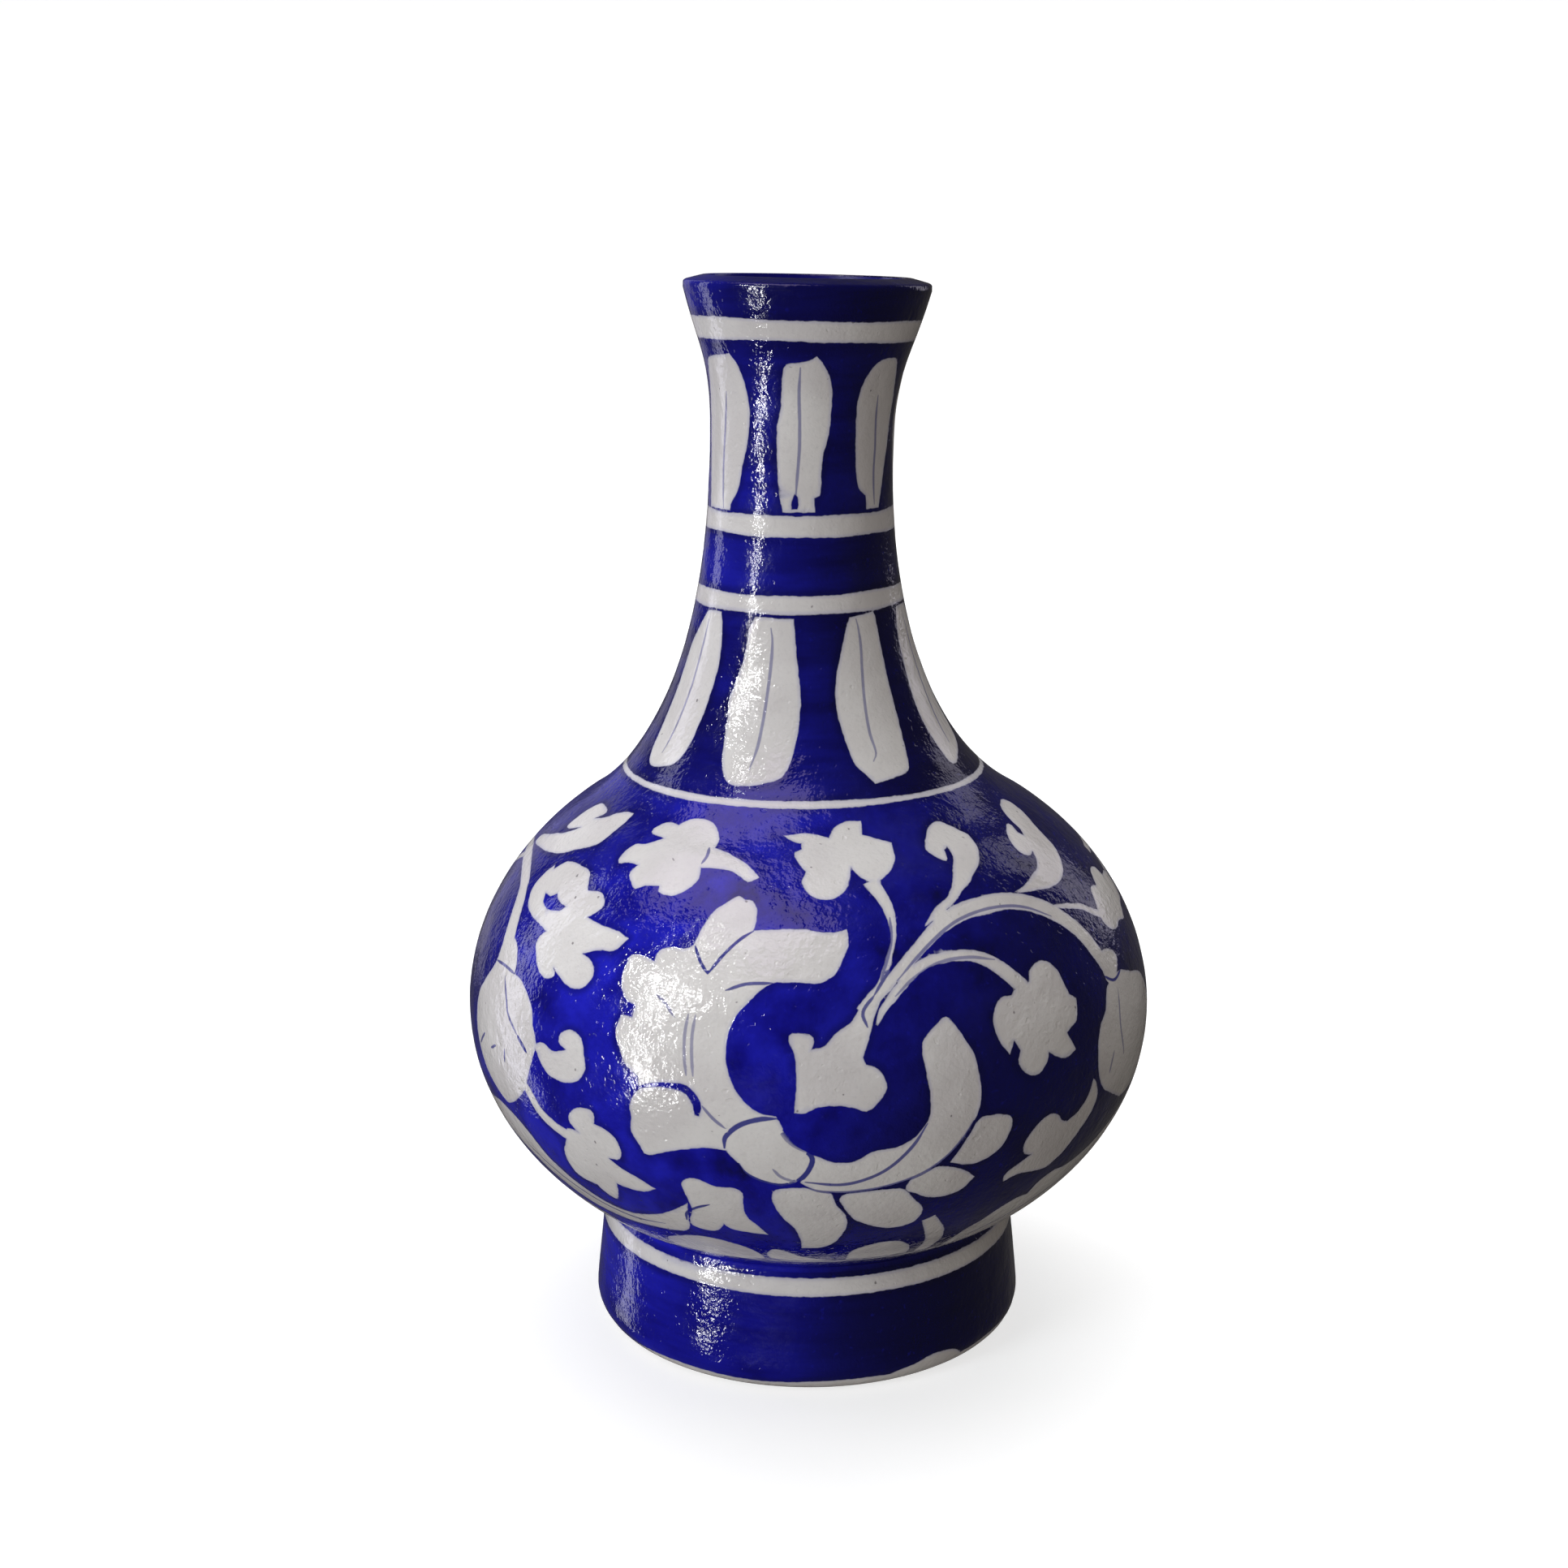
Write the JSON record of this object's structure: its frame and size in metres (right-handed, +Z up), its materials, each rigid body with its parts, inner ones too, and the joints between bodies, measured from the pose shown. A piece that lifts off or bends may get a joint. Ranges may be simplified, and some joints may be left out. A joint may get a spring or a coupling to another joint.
{
  "type": "bottle vase",
  "caption": "Painted bottle vase with a tall foot, a round belly, a long waisted neck and a flared mouth, built from luted clay sections.",
  "frame": {"origin": "centre of the foot, on the surface that the vase stands on", "axes": "+Z up along the pot's turning axis, -Y towards the viewer of the main flower, +X to that viewer's right"},
  "size_m": [0.133, 0.133, 0.203],
  "materials": {
    "foot_glaze": "glossy cobalt glaze, bare clay under the foot",
    "belly_glaze": "glossy clear glaze over cobalt ground with white reserved flowers",
    "neck_glaze": "glossy clear glaze over cobalt ground with white reserved petals",
    "mouth_glaze": "glossy clear glaze over cobalt ground with white reserved petals",
    "joint_slip": "matt fired slip"
  },
  "bodies": {
    "root": {"foot_ring": "foot_glaze", "foot_joint_slip": "joint_slip", "lower_bowl": "belly_glaze", "belly_joint_slip": "joint_slip", "upper_bowl": "belly_glaze", "shoulder_joint_slip": "joint_slip", "neck": "neck_glaze", "collar_joint_slip": "joint_slip", "mouth_collar": "mouth_glaze"}
  },
  "joints": []
}
